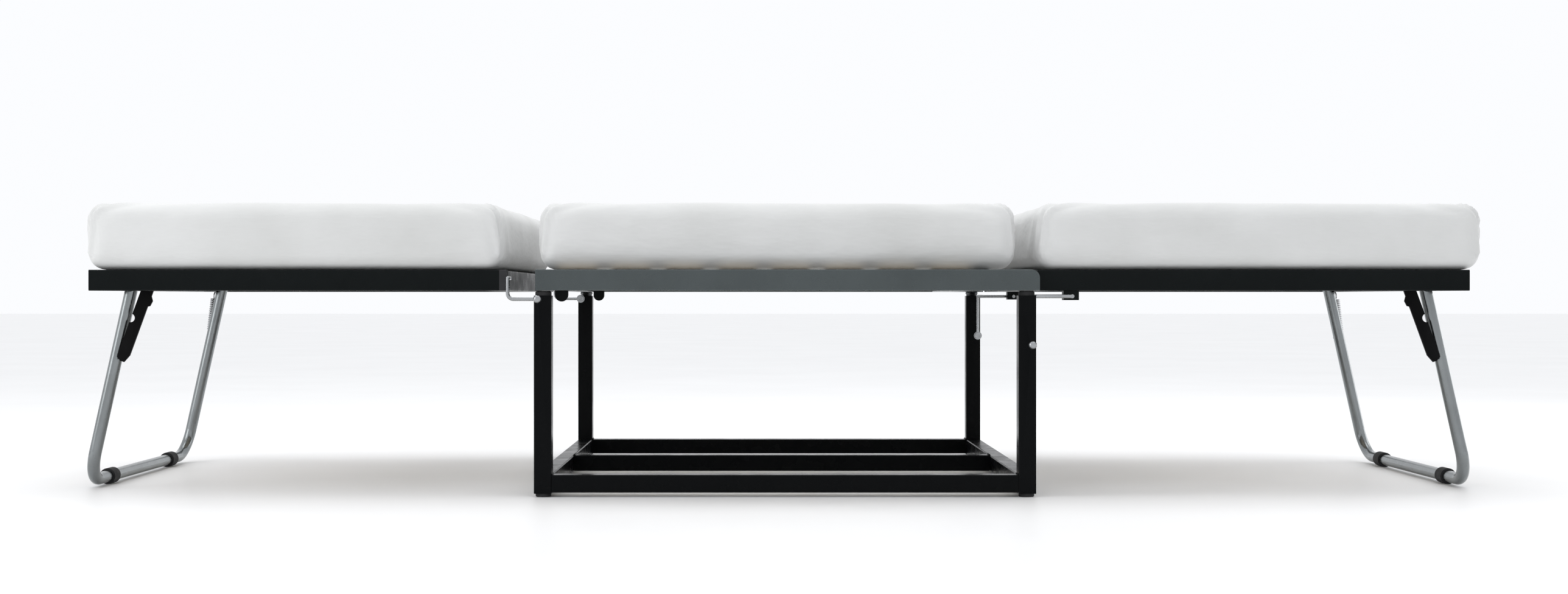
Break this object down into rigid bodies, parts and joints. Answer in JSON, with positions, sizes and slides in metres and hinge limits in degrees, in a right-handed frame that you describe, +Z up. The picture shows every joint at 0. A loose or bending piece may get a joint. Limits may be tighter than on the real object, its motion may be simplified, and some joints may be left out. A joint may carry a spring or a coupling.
{
  "type": "folding cot",
  "caption": "Folding guest bed: square-tube cage with a lift-up slatted deck, a hinged leaf with a fold-down leg hoop at each end, and a white three-section mattress.",
  "frame": {"origin": "on the floor under the middle of the base cage", "axes": "+Z up, +X along the bed towards the leaf with the low pivot, +Y across the bed towards the lid hinge"},
  "size_m": [2.0516, 0.7318, 0.417],
  "materials": {
    "cage_black": "satin black powder coat",
    "deck_grey": "satin grey metallic coat",
    "leaf_charcoal": "satin charcoal powder coat",
    "stay_black": "satin black",
    "hoop_steel": "drawn, satin",
    "hinge_steel": "satin",
    "zinc": "bright zinc",
    "rubber": "matt black",
    "end_plastic": "fine texture",
    "slat_wood": "clear lacquered beech",
    "sheet_cotton": "white cotton fitted sheet"
  },
  "bodies": {
    "base": {"front_left_leg": "cage_black", "front_right_leg": "cage_black", "back_left_leg": "cage_black", "back_right_leg": "cage_black", "front_bottom_rail": "cage_black", "back_bottom_rail": "cage_black", "middle_bottom_rail": "cage_black", "left_bottom_rail": "cage_black", "right_bottom_rail": "cage_black", "foot_glides": "rubber", "deck_bumpers": "rubber", "pivot_bolts": "zinc", "deck_hinge_lower": "hinge_steel", "deck_hinge_pins": "zinc"},
    "deck": {"deck_front_rail": "deck_grey", "deck_back_rail": "deck_grey", "deck_left_cross_rail": "deck_grey", "deck_right_cross_rail": "deck_grey", "deck_slats": "slat_wood", "deck_tabs": "leaf_charcoal", "deck_hinge_upper": "hinge_steel", "mattress_centre": "sheet_cotton"},
    "left_leaf": {"left_leaf_front_rail": "leaf_charcoal", "left_leaf_back_rail": "leaf_charcoal", "left_leaf_outer_rail": "leaf_charcoal", "left_leaf_inner_rail": "leaf_charcoal", "left_leaf_end_blocks": "end_plastic", "left_leaf_slats": "slat_wood", "left_link_rods": "zinc", "left_hoop_tabs": "leaf_charcoal", "left_pivot_pins": "zinc", "mattress_left": "sheet_cotton", "left_spring": "zinc"},
    "left_hoop": {"left_leg_hoop": "hoop_steel", "left_hoop_pads": "rubber", "left_spring_stud": "zinc"},
    "left_stay": {"left_stay": "stay_black"},
    "right_leaf": {"right_leaf_front_rail": "leaf_charcoal", "right_leaf_back_rail": "leaf_charcoal", "right_leaf_outer_rail": "leaf_charcoal", "right_leaf_inner_rail": "leaf_charcoal", "right_link_rods": "zinc", "right_rod_clips": "leaf_charcoal", "right_leaf_slats": "slat_wood", "right_hoop_tabs": "leaf_charcoal", "right_pivot_pins": "zinc", "mattress_right": "sheet_cotton", "right_spring": "zinc"},
    "right_hoop": {"right_leg_hoop": "hoop_steel", "right_hoop_pads": "rubber", "right_spring_stud": "zinc"},
    "right_stay": {"right_stay": "stay_black"}
  },
  "joints": [
    {"name": "deck_lift", "type": "hinge", "parent": "base", "child": "deck", "pos_m": [0, 0.364, 0.29], "axis": [-1, 0, 0], "range_deg": [0, 75]},
    {"name": "left_leaf_fold", "type": "hinge", "parent": "base", "child": "left_leaf", "pos_m": [-0.35, 0, 0.28], "axis": [0, 1, 0], "range_deg": [0, 20]},
    {"name": "right_leaf_fold", "type": "hinge", "parent": "base", "child": "right_leaf", "pos_m": [0.35, 0, 0.215], "axis": [0, -1, 0], "range_deg": [0, 20], "deforming": ["mattress_right"]},
    {"name": "left_hoop_fold", "type": "hinge", "parent": "left_leaf", "child": "left_hoop", "pos_m": [-0.958, 0, 0.3], "axis": [0, -1, 0], "range_deg": [0, 102.5], "deforming": ["left_spring"]},
    {"name": "right_hoop_fold", "type": "hinge", "parent": "right_leaf", "child": "right_hoop", "pos_m": [0.942, 0, 0.3], "axis": [0, 1, 0], "range_deg": [0, 102.5], "deforming": ["right_spring"]},
    {"name": "left_stay_swing", "type": "hinge", "parent": "left_leaf", "child": "left_stay", "pos_m": [-0.929, -0.2585, 0.3], "axis": [0, -1, 0], "range_deg": [0, 30]},
    {"name": "right_stay_swing", "type": "hinge", "parent": "right_leaf", "child": "right_stay", "pos_m": [0.913, -0.2585, 0.3], "axis": [0, 1, 0], "range_deg": [0, 30]}
  ]
}
